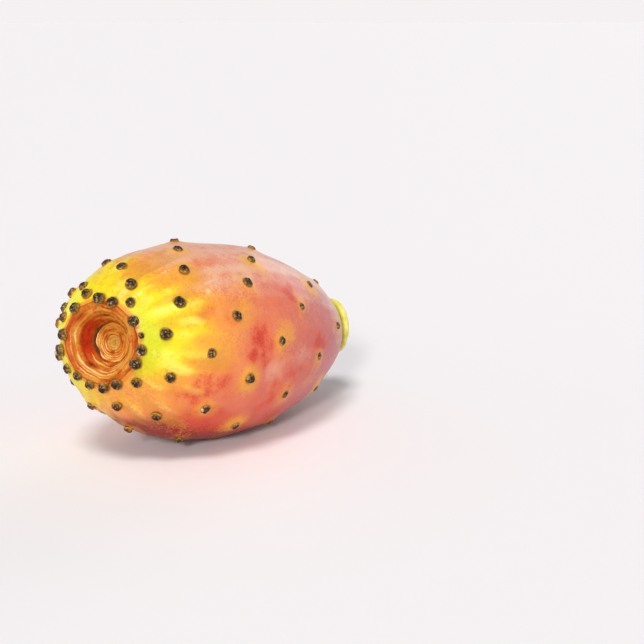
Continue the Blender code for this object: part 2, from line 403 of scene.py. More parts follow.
# The other folds: number, first angle, range of angles, how far one strays
OTHER_FOLDS = 16
OTHER_FOLDS_START = 8
OTHER_FOLDS_RANGE = 182
OTHER_FOLDS_STRAY = 4
# Ranges of their half length, half width, height and place along
OTHER_FOLD_SIZES = ((3, 6), (1.2, 2.2), (0.25, 0.45), (32, 39))
# The low pleating, and where it starts and ends
PLEAT_HEIGHT = 0.60 * MM
PLEAT_LENGTH = 15.0 * MM
PLEAT_WIDTH = 3.6 * MM
PLEAT_RADIUS = 20.0 * MM
PLEAT_BEND = 0.3
PLEAT_BEND_SIZE = 9.0 * MM
PLEATS_START = (15 * MM, 29 * MM)
PLEATS_END = (37 * MM, 41.5 * MM)
FOLDS_END = (40.5 * MM, 42 * MM)
LUMP_HEIGHT = 0.35 * MM
LUMP_SIZE = 17.0 * MM
LUMPS_END = (38 * MM, 42 * MM)
COLLAR_HEIGHT = 0.16 * MM
COLLAR_WIDTH = 0.55 * MM
COLLAR_REACH = 1.15
HAIRLINE = 0.001 * MM

spun = get_points(skin_mesh)
angle = np.arctan2(spun[:, 1], spun[:, 2])
radius = np.hypot(spun[:, 1], spun[:, 2])
on_scar = spun[:, 0] > CROWN_LENGTH + HAIRLINE
on_stem = spun[:, 0] < -STEM_LENGTH - HAIRLINE
along = np.clip(spun[:, 0], -STEM_LENGTH, CROWN_LENGTH)
smooth_skin = skin_point(along, angle)

toward = np.column_stack((np.cos(angle), np.sin(angle)))
rolled = np.column_stack((along / PLEAT_LENGTH, toward * PLEAT_RADIUS / PLEAT_WIDTH))
bent = rolled + PLEAT_BEND * noise_field(smooth_skin, PLEAT_BEND_SIZE)[:, None]
fold_noise = noise_field(bent, 1.0, 5.2)
ridge = np.clip(1 - np.abs(fold_noise) * 2.6, 0, 1) ** 1.6
fold_zone = smooth_step(*PLEATS_START, along) * (1 - smooth_step(*PLEATS_END, along))
pleats = PLEAT_HEIGHT * fold_zone * (0.55 * ridge + 0.60 * fold_noise - 0.2)

fold_draw = random.Random(SEED + 2)
crests = np.zeros(len(along))
for i in range(OTHER_FOLDS):
    turn = OTHER_FOLDS_START + i * OTHER_FOLDS_RANGE / OTHER_FOLDS
    turn += fold_draw.uniform(-OTHER_FOLDS_STRAY, OTHER_FOLDS_STRAY)
    *sizes, place = (fold_draw.uniform(*limits) for limits in OTHER_FOLD_SIZES)
    crests += one_fold(place, turn, *sizes)
for fold in FOLDS:
    crests += one_fold(*fold)
folds = (pleats + crests) * (1 - smooth_step(*FOLDS_END, along))

lumps = LUMP_HEIGHT * noise_field(smooth_skin, LUMP_SIZE, 1.7) * (1 - smooth_step(*LUMPS_END, along))
gap, nearest = nearest_areole(smooth_skin)
areole_radius = areoles[nearest, 2]
collar = COLLAR_HEIGHT * np.exp(-(((gap - areole_radius * COLLAR_REACH) / COLLAR_WIDTH) ** 2))
relief = mounds(smooth_skin) + folds + lumps + collar
print("relief, mm:", round(relief.min() / MM, 2), "to", round(relief.max() / MM, 2))

# %% [markdown]
# ## The floral scar
# The flower dropped off the crown and left a cupped scar with corky rings,
# like a stack of worn terraces: an outer shelf, a steep wall and a small bowl
# with a disc in its middle. Even rings could be turned on the blank, but real
# ones wander, merge and break. So each crest is a ridge round the cup whose
# radius drifts and whose height fades in and out. The cup follows the fruit's
# own axis while its rim is askew, as the skin is.

# %% Height of the scar
SCAR_DEPTH = 4.9 * MM
# Radius and depth of the plain cup, from the middle outwards
CUP_PROFILE = (
    (0.0, 4.85), (2.3, 4.75), (4.4, 4.45),
    (5.0, 4.15), (6.0, 2.9), (7.1, 1.35),
    (7.8, 0.75), (8.8, 0.35), (9.4, 0.0),
)
# Radius, width and height of each crest
CRESTS = (
    (9.05, 0.16, 0.16), (8.60, 0.15, 0.24), (8.15, 0.15, 0.22),
    (7.60, 0.20, 0.50), (6.95, 0.17, 0.36), (6.45, 0.14, 0.26),
    (5.95, 0.16, 0.34), (5.45, 0.14, 0.26), (4.60, 0.22, 0.40),
    (4.05, 0.15, 0.30), (3.55, 0.15, 0.34), (3.05, 0.13, 0.22),
    (2.40, 0.18, 0.34), (1.60, 0.16, 0.22), (0.90, 0.14, 0.18),
)
# The wall on the far side, away from the camera's side, is smooth
SMOOTH_WALL_ANGLE = 85 * DEGREE
SMOOTH_WALL_SPREAD = 62 * DEGREE

scar_spot = np.column_stack((toward * radius[:, None], np.zeros(len(radius))))
drift = 0.50 * noise_field(scar_spot, 6.0 * MM, 8.1) + 0.24 * noise_field(scar_spot, 2.2 * MM, 2.4)
drift += 0.08 * noise_field(scar_spot, 0.8 * MM, 9.9)
drift *= 1 - smooth_step(8.7 * MM, RIM_RADIUS, radius)
wandering = radius / MM + drift
on_far_wall = np.exp(-((turn_between(angle, SMOOTH_WALL_ANGLE) / SMOOTH_WALL_SPREAD) ** 2))
wall_band = smooth_step(4.7, 5.3, wandering) * (1 - smooth_step(6.9, 7.3, wandering))
crest_height = np.zeros(len(radius))
scar_crest_highlight = np.zeros(len(radius))
for number, (middle, width, height) in enumerate(CRESTS):
    round_spot = np.column_stack((toward * (0.9 + 0.12 * middle), np.full(len(radius), number * 3.7)))
    strength = np.clip(0.72 + 1.1 * noise_field(round_spot, 1.0, 4.4), 0.12, 1.15)
    away = (wandering - middle) / width
    # Steep on the inner side, gentle on the outer side
    shape = np.exp(-((np.where(away < 0, away, away / 2.0)) ** 2))
    crest_height += height * strength * shape
    scar_crest_highlight += strength * min(height / 0.3, 1.2) * np.exp(-((away / 0.8) ** 2))
fade = 1 - 0.85 * on_far_wall * wall_band
crest_height *= fade
# The painted highlight on the crests is strongest on the low side, where they catch the light
light_catching_side = 0.42 + 0.58 * smooth_step(-0.5, 0.9, -np.cos(turn_between(angle, -25 * DEGREE)))
scar_crest_highlight = np.clip(scar_crest_highlight * fade, 0, 1.2) * light_catching_side
cup = np.interp(wandering, *np.array(CUP_PROFILE).T)
crease = 0.34 * np.exp(-(((wandering - 4.98) / 0.22) ** 2)) * (0.1 + 0.9 * on_far_wall)
# Thin growth lines between the crests: fine across, long round
fine_spot = np.column_stack((toward * 2.2, wandering / 0.42))
fine_lines = noise_field(fine_spot, 1.0, 14.2)
scar_grain = 0.08 * noise_field(scar_spot, 0.7 * MM, 6.6) + 0.05 * noise_field(scar_spot, 0.35 * MM, 3.6)
off_disc = 0.4 + 0.6 * smooth_step(1.6, 2.6, wandering)
crest_height += off_disc * 0.16 * fine_lines
scar_depth = np.where(on_scar, (cup + crease - crest_height + scar_grain) * MM, 0)


def scar_points():
    """Places of the scar's points, sunk along the fruit's own axis."""
    everywhere = np.full(len(radius), CROWN_LENGTH)
    inward = axis_direction(everywhere)
    outward = axis_direction(everywhere, CROWN_SIDE_TILT, CROWN_UP_TILT)
    share = np.clip(scar_depth / SCAR_DEPTH, 0, 1)[:, None]
    normal = outward * (1 - share) + inward * share
    normal /= np.linalg.norm(normal, axis=1, keepdims=True)
    centre = axis_point(everywhere) - inward * scar_depth[:, None]
    rim_lift = np.interp(radius, (8.2 * MM, RIM_RADIUS), (0, 1)) * relief_at_rim
    return ring_point(centre, normal, angle, radius + rim_lift)


on_rim = np.isclose(spun[:, 0], CROWN_LENGTH, atol=0.002 * MM)
rim_order = np.argsort(angle[on_rim])
relief_at_rim = np.interp(angle, angle[on_rim][rim_order], relief[on_rim][rim_order], period=math.tau)
print("scar depth, mm:", round(scar_depth.max() / MM, 2))

# %% Moving the blank's points to the finished skin
share = np.where(on_stem, radius / STEM_RADIUS, 1.0)
finished = skin_point(along, angle, relief, share)
finished[on_scar] = scar_points()[on_scar]
finished[:, 2] = np.maximum(finished[:, 2], 0)
set_points(skin_mesh, finished)
face_out(skin_mesh)
new_piece("fruit_skin", skin_mesh, "fruit")
print("skin:", len(skin_mesh.polygons), "faces, lowest", round(finished[:, 2].min() / MM, 2), "mm")

# %% [markdown]
# ## Masks for the colours
# A ripe fruit is not one colour: it is yellow and lime round the crown,
# orange to salmon over the middle and pink to mauve at the stem. Red blushes
# and golden spots lie over that, the underside is redder and carries painted
# shade, deepest next to the table, a yellow halo rings each areole with a
# painted shadow at its foot, and a pale waxy bloom with a painted sheen lies on
# top. Near the crown the folds have a painted lemon highlight on their crests
# and painted amber shade in their valleys. Each of these is a number
# from 0 to 1 at every point, kept as an attribute of the mesh. The material
# then only mixes colours. The patches that face the camera are named one by
# one, and seeded draws place those on the far side.


# %% Helpers for masks
def keep_attribute(mesh, name, values):
    """Store one number for each vertex."""
    numbers = mesh.attributes.new(name, "FLOAT", "POINT").data
    numbers.foreach_set("value", np.asarray(values, dtype=np.float32))


def patch(place, turn, length, width, strength):
    """Soft oval patch: its middle, its half length along and half width round."""
    away = (along - place * MM) / (length * MM)
    across = turn_between(angle, turn * DEGREE) * GREATEST_RADIUS / (width * MM)
    return strength * np.exp(-(away**2) - across**2)


def patches(spots):
    """All patches of one list together."""
    return sum(patch(*spot) for spot in spots)


def far_patches(count, lengths, widths, seed):
    """Seeded patches on the half of the fruit that faces away."""
    draw = random.Random(seed)
    ranges = (FAR_PLACES, FAR_ANGLES, lengths, widths, FAR_STRENGTHS)
    return patches([[draw.uniform(*limits) for limits in ranges] for _ in range(count)])


# %% Ripeness, blushes and other patches of the skin
# Where the yellow of the crown ends: angle in degrees and distance along in mm
YELLOW_EDGE = (
    (-180, 46), (-150, 47), (-130, 43),
    (-110, 37), (-92, 31), (-75, 31),
    (-55, 32), (-38, 35), (-18, 38),
    (15, 35), (45, 29), (80, 26),
    (110, 31), (145, 35),
)
# Each spot: place along and angle, half length, half width, strength
# Blushes that face the camera
BLUSHES = (
    (-5.5, -50, 6, 4.5, 0.65), (-15, -83, 6.5, 2.8, 1.0), (-20, -88, 3, 2.0, 0.6),
    (13, -77, 4.0, 5.0, 0.45), (10.5, -87, 3.4, 5.5, 0.85), (15.5, -89, 2.4, 2.2, 0.7),
    (21, -68, 2.6, 3.0, 0.65), (27.5, -66, 3.6, 3.2, 0.60), (33.8, -90, 2.4, 2.2, 0.30),
    (30.5, -121, 5.4, 5.0, 0.42), (24, -107, 7, 6, 0.50), (22, -138, 9, 9, 0.45),
    (-4, -103, 8, 4.5, 0.50), (4, -120, 8, 6, 0.45), (3, -62, 7, 5, 0.30),
    (-26, -62, 4, 2.5, 0.45),
)
# Golden spots between the blushes
GOLDEN_SPOTS = (
    (25.5, -89, 4.6, 4.4, 1.0), (31.0, -84, 3.0, 2.6, 0.80), (1.8, -77, 4.6, 3.6, 0.9),
    (-9.0, -57, 3.2, 2.6, 0.8), (16, -66, 4.6, 4.0, 0.9), (15, -108, 4.0, 3.0, 0.7),
    (32, -136, 5.0, 4.2, 0.55), (-14, -112, 4.0, 3.0, 0.4), (3, -38, 6.0, 2.4, 0.5),
    (28, -40, 3.4, 2.4, 0.6),
)
# Cream scuffs
SCUFFS = (
    (25.8, -50, 0.7, 0.6, 0.9), (27.0, -54, 0.45, 0.4, 0.8),
    (28.6, -49, 0.35, 0.35, 0.6), (31.4, -26, 1.5, 0.35, 0.9),
    (24.5, -57, 0.35, 0.35, 0.6), (-12, 60, 1.5, 0.8, 0.9),
    (14, 118, 2.2, 0.6, 0.9), (2, 86, 0.7, 0.7, 0.8),
)
# Pale waxy spots on the camera's side
PALE_SPOTS = (
    (5, -99, 6, 3.5, 0.60),
    (-7, -92, 5, 3, 0.45),
)
# Far side: numbers of patches, and the ranges of their places, angles and strengths
FAR_BLUSHES = 13
FAR_GOLDEN_SPOTS = 9
FAR_PLACES = (-30, 24)
FAR_ANGLES = (38, 165)
FAR_STRENGTHS = (0.4, 0.9)
# Length from stem pink to crown yellow, and where yellow starts on the run
RUN_LENGTH = 80
YELLOW_RIPENESS = 0.75
HALO_REACH = 3.2
UNDERSIDE_ANGLE = -168 * DEGREE
SHEEN_AND_BLOOM_ANGLE = -14 * DEGREE
LIME_ANGLE = -84 * DEGREE
LIME_SPREAD = 48 * DEGREE
RIM_GLOW_WIDTH = 0.6 * MM
FULL_FOLD = 0.4 * MM
FULL_CREST = 0.5 * MM

place_mm = along / MM
ridge_height = np.clip(folds / FULL_FOLD, -0.5, 1.2)
# Noise of three sizes breaks up the edges of the patches
wander = noise_field(smooth_skin, 12.0 * MM, 3.3)
patchy = noise_field(smooth_skin, 5.0 * MM, 12.1)
ragged = noise_field(smooth_skin, 2.2 * MM, 7.7)

yellow_edge = np.interp(angle / DEGREE, *np.array(YELLOW_EDGE).T, period=360)
# The fold height also shifts the run, yellower on the crests and more orange in the valleys, as painted
# highlight and shade
ripe_place = place_mm - yellow_edge + 2.5 * wander + 2.2 * patchy + 0.8 * ragged + 3.0 * ridge_height
ripeness = np.clip(YELLOW_RIPENESS + ripe_place / RUN_LENGTH, 0, 1)
blush = patches(BLUSHES) + far_patches(FAR_BLUSHES, (4, 9), (2, 5), SEED)
blush = np.clip(blush * (0.9 + 0.35 * wander + 0.7 * patchy + 0.8 * ragged), 0, 1)
golden = patches(GOLDEN_SPOTS) + far_patches(FAR_GOLDEN_SPOTS, (3, 5), (3, 5), SEED + 5)
golden = np.clip(golden * (1 + 0.4 * patchy + 0.3 * ragged), 0, 1)
scuff = patches(SCUFFS) * (1 + 0.8 * noise_field(smooth_skin, 0.8 * MM, 2.2))

# Redder underside: partly the fruit's own colour, partly painted shade
under = np.cos(turn_between(angle, UNDERSIDE_ANGLE)) + 0.14 * patchy + 0.10 * wander
under = smooth_step(0.55, 1.05, under) * (1 - smooth_step(26, 34, place_mm + 1.5 * patchy))
under *= 0.35 + 0.65 * smooth_step(-26, 6, place_mm)
# Painted contact shade: deep red along the band next to the table
lowest = smooth_step(0.70, 0.97, -np.cos(angle) + 0.05 * patchy)
lowest *= 1 - smooth_step(30, 37, place_mm)

# A halo fades near the crown and in the painted contact shade on the underside
halo_strength = np.random.default_rng(SEED).uniform(0.45, 1.0, len(areoles))[nearest]
halo_reach = (HALO_REACH + 1.4 * patchy + 0.7 * ragged) * MM
halo = halo_strength * np.exp(-((np.maximum(gap - 0.6 * areole_radius, 0) / halo_reach) ** 2))
halo *= (1 - 0.8 * smooth_step(28, 35, place_mm)) * (1 - 0.6 * lowest)

lime_side = np.exp(-((turn_between(angle, LIME_ANGLE) / LIME_SPREAD) ** 2))
lime = smooth_step(34.5, 41, place_mm + 4 * patchy - 2.2 * ridge_height) * (0.1 + 0.9 * lime_side)

# Bloom, with a painted sheen on top, is streaky along the fruit and wraps further round at the stem
facing_up = np.cos(turn_between(angle, SHEEN_AND_BLOOM_ANGLE))
streaks = noise_field(rolled * (0.5, 1.5, 1.5), 1.0, 11.3)
bloom_and_painted_sheen = smooth_step(0.40, 1.30, facing_up + 0.34 * streaks + 0.16 * patchy + 0.08 * ragged)
bloom_and_painted_sheen *= 1 - smooth_step(24, 35, place_mm)
stem_bloom = smooth_step(-20, -38, place_mm) * smooth_step(-0.5, 0.7, facing_up + 0.5 * streaks)
bloom_and_painted_sheen = np.clip(bloom_and_painted_sheen + 0.75 * stem_bloom + patches(PALE_SPOTS), 0, 1)

skin_masks = dict(
    ripeness=ripeness,
    blush=blush,
    under=under,
    halo=np.clip(halo, 0, 1),
    golden=golden,
    lowest=lowest,
    painted_valley_shade=smooth_step(0.05, -0.22, folds / MM) * fold_zone,
    fold_crest_highlight=np.clip(crests / FULL_CREST, 0, 1),
    lime=lime,
    bloom_and_painted_sheen=bloom_and_painted_sheen,
    scuff=np.clip(scuff, 0, 1),
    rim_glow=np.exp(-(((along - CROWN_LENGTH) / RIM_GLOW_WIDTH) ** 2)),
    # Painted shadow round the foot of each areole
    areole_foot_shadow=np.exp(-((gap / (areole_radius * 1.12)) ** 6)),
    scar_crest_highlight=np.where(on_scar, scar_crest_highlight, 0),
    scar_relief=np.where(on_scar, crest_height - crease, 0),
    scar_radius=wandering / (RIM_RADIUS / MM),
    far_wall=on_far_wall,
)
for name, values in skin_masks.items():
    keep_attribute(skin_mesh, name, values)
print("blush covers", round(float((blush > 0.5).mean() * 100)), "% of the points")

# %% [markdown]
# ## Areoles
# Close up, an areole is a tight cushion of felt, glossy where it has been
# rubbed, with a dark dimple where the bristles stood. Near the crown it is a
# ball on the skin, towards the stem it is a flat disc. It starts as an
# icosphere, whose faces are even all over, so the lumps look the same on
# every side. Its foot is sunk in the skin, and each one gets its own lumps.

# %% Making and placing the areoles
AREOLE_DETAIL = 4
AREOLE_LUMPS = 0.15
AREOLE_LUMP_SIZE = 0.6
AREOLE_TUFTS = 0.105
AREOLE_TUFT_SIZE = 0.24
AREOLE_TRIM = 0.94
AREOLE_DIMPLE = 0.30
AREOLE_DIMPLE_WIDTH = 0.36
# How far the middle of the ball stands above the skin, as a share of the height
STEM_AREOLE_STAND = 0.10
CROWN_AREOLE_STAND = 0.34
# Height of the cushion as a share of that in the CAD
STEM_AREOLE_SHARE = 0.62
CROWN_AREOLE_SHARE = 1.08
CHIPPED_SHARE = 0.12
CHIP_TURN = 2.4


def shape_areole(points, number):
    """Lumpy cushion with a dimple; keeps the sphere's radius of 1."""
    lumps = AREOLE_LUMPS * noise_field(points, AREOLE_LUMP_SIZE, number * 3.1)
    tufts = AREOLE_TUFTS * noise_field(points, AREOLE_TUFT_SIZE, number * 1.7)
    shaped = points * (1 + lumps + tufts)[:, None]
    from_middle = np.hypot(points[:, 0], points[:, 1])
    top = smooth_step(0.0, 0.6, points[:, 2])
    shaped[:, 2] -= AREOLE_DIMPLE * np.exp(-((from_middle / AREOLE_DIMPLE_WIDTH) ** 2)) * top
    return shaped


ball = bmesh.new()
bmesh.ops.create_icosphere(ball, subdivisions=AREOLE_DETAIL, radius=1.0)
sphere = finish_mesh(ball, "areole")
sphere_points = get_points(sphere)
areole_normals = skin_normal(areoles[:, 0], areoles[:, 1])
areole_draw = random.Random(SEED + 1)
felt_build = bmesh.new()
felt_marks = {"rise": [], "chip": [], "tan": [], "to_crown": []}
for number, (place, turn, wide, high) in enumerate(areoles):
    to_crown = (place + STEM_LENGTH) / BODY_LENGTH
    stand = STEM_AREOLE_STAND + (CROWN_AREOLE_STAND - STEM_AREOLE_STAND) * to_crown**2
    normal = Vector(areole_normals[number])
    foot = Vector(skin_point(np.array(place), np.array(turn), np.array(TUBERCLE_HEIGHT)))
    spin = Matrix.Rotation(areole_draw.uniform(0, math.tau), 4, "Z")
    upright = normal.to_track_quat("Z", "Y").to_matrix().to_4x4()
    wide *= AREOLE_TRIM
    high *= STEM_AREOLE_SHARE + (CROWN_AREOLE_SHARE - STEM_AREOLE_SHARE) * to_crown**2
    size = Matrix.Diagonal((wide, wide * areole_draw.uniform(0.85, 1.0), high * (1.08 - stand), 1))
    one = sphere.copy()
    set_points(one, shape_areole(sphere_points, number))
    one.transform(Matrix.Translation(foot + normal * high * stand) @ upright @ spin @ size)
    felt_build.from_mesh(one)
    bpy.data.meshes.remove(one)
    chip_turn = number * CHIP_TURN
    chip_side = Vector((math.cos(chip_turn), math.sin(chip_turn), 0.5)).normalized()
    chipped = 1 if areole_draw.random() < CHIPPED_SHARE else 0
    felt_marks["rise"].append(sphere_points[:, 2])
    felt_marks["chip"].append(chipped * smooth_step(0.84, 0.96, sphere_points @ np.array(chip_side)))
    felt_marks["tan"].append(np.full(len(sphere_points), areole_draw.uniform(0, 1)))
    felt_marks["to_crown"].append(np.full(len(sphere_points), to_crown))
felt_mesh = finish_mesh(felt_build, "areoles")
felt_points = get_points(felt_mesh)
felt_points[:, 2] = np.maximum(felt_points[:, 2], 0)
set_points(felt_mesh, felt_points)
for name, parts in felt_marks.items():
    keep_attribute(felt_mesh, name, np.concatenate(parts))
new_piece("areoles", felt_mesh, "fruit")
print("areole faces:", len(felt_mesh.polygons))

# %% [markdown]
# ## The scrap of pad
# The fruit was twisted off its pad and a scrap of the pad came with it. It is
# a thick leathery disc: green and yellow skin rolled over its edge, and a
# dished, dried brown break in the middle. A spun profile gives the disc, and
# noise that grows towards the edge makes it ragged.

# %% Form of the scrap
SCRAP_GAP = 0.3 * MM
SCRAP_WIDTH_SCALE = 0.92
SCRAP_LIFT = 0.5 * MM
SCRAP_AROUND = 160
SCRAP_STATIONS = 90
SCRAP_SPIN_LENGTH = 10 * MM
SCRAP_PROFILE = (
    (0.0, 0.0), (3.0, 0.0), (6.6, 0.0),
    (7.7, 0.35), (8.2, 1.2), (7.8, 2.1),
    (7.0, 2.5), (6.0, 2.2), (4.4, 1.5),
    (2.0, 1.3), (0.0, 1.3),
)


def smooth_profile(corners, count):
    """Even points on a smooth curve through these corners."""
    curve = np.array(corners)
    for _ in range(4):
        middle = (curve[1:] + curve[:-1]) / 2
        quarter = np.empty((len(curve) * 2 - 2, 2))
        quarter[0::2] = (curve[:-1] + middle) / 2
        quarter[1::2] = (curve[1:] + middle) / 2
        curve = np.vstack((curve[:1], quarter, curve[-1:]))
    path = np.concatenate(((0,), np.cumsum(np.linalg.norm(np.diff(curve, axis=0), axis=1))))
    wanted = np.linspace(0, path[-1], count)
    return np.column_stack([np.interp(wanted, path, column) for column in curve.T])


scrap_profile = smooth_profile(SCRAP_PROFILE, SCRAP_STATIONS) * MM
scrap_share = np.linspace(0, 1, SCRAP_STATIONS)
scrap_chain = list(zip(scrap_share * SCRAP_SPIN_LENGTH, np.maximum(scrap_profile[:, 0], 0)))
scrap_mesh = spin_chain("pad_scrap_skin", scrap_chain, SCRAP_AROUND)
spun_scrap = get_points(scrap_mesh)
scrap_angle = np.arctan2(spun_scrap[:, 1], spun_scrap[:, 2])
scrap_radius = np.hypot(spun_scrap[:, 1], spun_scrap[:, 2])
scrap_path = spun_scrap[:, 0] / SCRAP_SPIN_LENGTH
scrap_depth = np.interp(scrap_path, scrap_share, scrap_profile[:, 1])
scrap_toward = np.column_stack((np.cos(scrap_angle), np.sin(scrap_angle)))
flat_spot = np.column_stack((scrap_toward * scrap_radius[:, None], scrap_depth))
edge = smooth_step(3 * MM, 8 * MM, scrap_radius)
torn = noise_field(flat_spot, 3.0 * MM, 1.3)
crumbled = noise_field(flat_spot, 0.9 * MM, 4.9)
uneven = 1 + 0.03 * np.cos(2 * scrap_angle + 0.8) + 0.025 * np.cos(3 * scrap_angle)
uneven += edge * (0.035 * torn + 0.012 * crumbled)
outside = smooth_step(0.45, 0.6, scrap_path)
scrap_depth += outside * (0.28 * MM * torn + 0.10 * MM * crumbled)
stem_point = np.full(len(scrap_path), -STEM_LENGTH)
inward = axis_direction(stem_point)
up, sideways = cross_directions(inward)
start = axis_point(stem_point) - inward * (SCRAP_GAP + scrap_depth)[:, None] + up * SCRAP_LIFT
reach = (scrap_radius * uneven)[:, None]
scrap_out = scrap_toward[:, :1] * up + SCRAP_WIDTH_SCALE * scrap_toward[:, 1:] * sideways
set_points(scrap_mesh, start + reach * scrap_out)
face_out(scrap_mesh)
keep_attribute(scrap_mesh, "broken", smooth_step(0.60, 0.78, scrap_path + 0.07 * torn + 0.03 * crumbled))
keep_attribute(scrap_mesh, "path", scrap_path)
new_piece("pad_scrap_skin", scrap_mesh, "pad_scrap")
print("scrap faces:", len(scrap_mesh.polygons))

# %% [markdown]
# ## Materials
# All colours are sRGB hex values, as a colour picker shows them, and one
# function turns them to the linear values of the renderer. Another adds a node
# with its settings and links, so that a material reads from top to bottom.


# %% Helpers for materials
def colour(code):
    """Linear RGBA from an sRGB hex code."""
    parts = [int(code[i : i + 2], 16) / 255 for i in (1, 3, 5)]
    return (*(c / 12.92 if c <= 0.04045 else ((c + 0.055) / 1.055) ** 2.4 for c in parts), 1.0)


def add(kind, inputs=None, **settings):
    """Add a node to the current tree; an input is a value or another node's output."""
    node = tree.nodes.new(kind)
    for key, value in settings.items():
        setattr(node, key, value)
    for key, value in (inputs or {}).items():
        if isinstance(value, bpy.types.NodeSocket):
            tree.links.new(value, node.inputs[key])
        else:
            node.inputs[key].default_value = value
    return node


# Sockets of the Mix node when it mixes colours
MIX_AMOUNT, MIX_BELOW, MIX_ABOVE, MIX_RESULT = 0, 6, 7, 2


def start_material(name):
    """New material, its node tree and its Principled shader."""
    material = bpy.data.materials.new(name)
    material.use_nodes = True
    return material, material.node_tree, material.node_tree.nodes["Principled BSDF"]


def mask(name):
    """One number of the mesh's attributes."""
    return add("ShaderNodeAttribute", attribute_name=name).outputs["Fac"]


def millimetres():
    """Object coordinates counted in millimetres."""
    place = add("ShaderNodeTexCoord").outputs["Object"]
    return add("ShaderNodeMapping", {"Vector": place, "Scale": (1000, 1000, 1000)}).outputs["Vector"]


def grain(size, detail=3.0, roughness=0.6):
    """Noise from 0 to 1 whose patches are about this many millimetres."""
    settings = {"Vector": in_mm, "Scale": 1 / size, "Detail": detail, "Roughness": roughness}
    return add("ShaderNodeTexNoise", settings).outputs["Fac"]


def calculate(operation, *values):
    """One sum or product of masks and numbers."""
    return add("ShaderNodeMath", dict(enumerate(values)), operation=operation).outputs[0]


def stirred(value, noise_mask, share):
    """A mask made uneven with a share of another one."""
    return calculate("MULTIPLY_ADD", noise_mask, share, value)


def product(first, *others):
    """Masks and numbers multiplied together."""
    for other in others:
        first = calculate("MULTIPLY", first, other)
    return first


def fit_range(value, low, high, to_low=0.0, to_high=1.0, kind="SMOOTHSTEP"):
    """Spread a range of a mask over another range."""
    inputs = {"Value": value, "From Min": low, "From Max": high, "To Min": to_low, "To Max": to_high}
    return add("ShaderNodeMapRange", inputs, interpolation_type=kind).outputs[0]


def tint(below, above, amount):
    """Lay a hex colour or a node's colour over another by this amount."""
    over = colour(above) if isinstance(above, str) else above
    inputs = {MIX_AMOUNT: amount, MIX_BELOW: below, MIX_ABOVE: over}
    return add("ShaderNodeMix", inputs, data_type="RGBA").outputs[MIX_RESULT]


def colour_run(value, stops):
    """Colours along a mask, as (place, hex code)."""
    ramp = add("ShaderNodeValToRGB", {"Fac": value})
    elements = ramp.color_ramp.elements
    elements.remove(elements[-1])
    elements[0].position, elements[0].color = stops[0][0], colour(stops[0][1])
    for place, code in stops[1:]:
        elements.new(place).color = colour(code)
    return ramp.outputs["Color"]


def rough_surface(height, strength, distance):
    """Bump of the current shader."""
    bump = add("ShaderNodeBump", {"Height": height, "Strength": strength, "Distance": distance})
    tree.links.new(bump.outputs["Normal"], shader.inputs["Normal"])


def set_inputs(values):
    """Uniform values of the current shader."""
    for key, value in values.items():
        shader.inputs[key].default_value = value


# %% [markdown]
# ### Waxy fruit skin
# Ripe cactus fruit skin is thin, juicy and coated with wax: a soft gloss with
# light that goes a little way in. The colours are laid over each other: first
# the run from stem to crown with a fine red stipple, then the red underside with
# its painted shade, the bloom with its painted sheen, the golden spots and
# halos, the blushes, the painted shade and highlight of the folds, and last the
# small marks with a painted shadow at each areole's foot. A painted picture would
# be another way, but a table of layers stays sharp from near and is easy to
# change. A fine mottle breaks up the edges, as the cells of the real skin do.

# %% Fruit skin material
# From the mauve-pink stem through salmon and orange to the lemon crown
SKIN_RUN = (
    (0.00, "#CC8088"), (0.12, "#D8766E"), (0.26, "#E27460"),
    (0.42, "#EC7C5A"), (0.56, "#F08656"), (0.66, "#F4994A"),
    (0.74, "#F4B62A"), (0.80, "#F4DC12"), (0.88, "#F4EC12"),
)
# Layers over the run: mask, colour, where its edge starts and ends, how much it
# covers, and how far the speckle breaks its edge, where 0 leaves the edge soft
SKIN_LAYERS = (
    # Red underside, partly its own colour and partly painted shade, and deep red painted contact shade
    # next to the table
    ("under", "#CC2A10", 0.0, 1.0, 0.92, 0.25),
    ("lowest", "#861206", 0.05, 0.9, 0.90, 0.20),
    # Pale peach wax on top, with a painted sheen
    ("bloom_and_painted_sheen", "#F2D4B8", 0.0, 1.1, 0.62, 0.36),
    # Amber spots, and the halos that ring the areoles
    ("golden", "#F3A43A", 0.0, 0.9, 0.75, 0.36),
    ("halo", "#F5B038", 0.0, 0.9, 0.85, 0.36),
    # Blushes, coral outside and blood red in the middle
    ("blush", "#E2553A", 0.08, 0.75, 0.75, 0.50),
    ("blush", "#CE2A1A", 0.42, 1.15, 0.85, 0.70),
    # Round the crown: painted amber shade between the folds, lime at the scar, a painted lemon highlight
    # on the crests
    ("painted_valley_shade", "#DC9A14", 0.0, 1.0, 0.38, 0.36),
    ("lime", "#C6CC10", 0.0, 1.0, 0.62, 0),
    ("fold_crest_highlight", "#FAEE74", 0.35, 1.0, 0.50, 0.12),
    # Cream scuffs, the orange rim of the scar and a painted brown shadow at the areoles' feet
    ("scuff", "#F6D6A0", 0.25, 0.60, 0.80, 0.36),
    ("rim_glow", "#E27A2C", 0.1, 0.9, 0.80, 0),
    ("areole_foot_shadow", "#8A5E14", 0.2, 0.9, 0.75, 0),
)
EDGE_MOTTLE = 0.24
skin_material, tree, shader = start_material("waxy_fruit_skin")
in_mm = millimetres()
mottle = fit_range(grain(2.2, 4.0), 0.3, 0.7, kind="LINEAR")
speckle = fit_range(grain(0.55, 3.0, 0.65), 0.3, 0.7, kind="LINEAR")
uneven_ripeness = stirred(stirred(mask("ripeness"), mottle, 0.06), speckle, 0.05)
skin_colour = colour_run(calculate("SUBTRACT", uneven_ripeness, 0.055), SKIN_RUN)


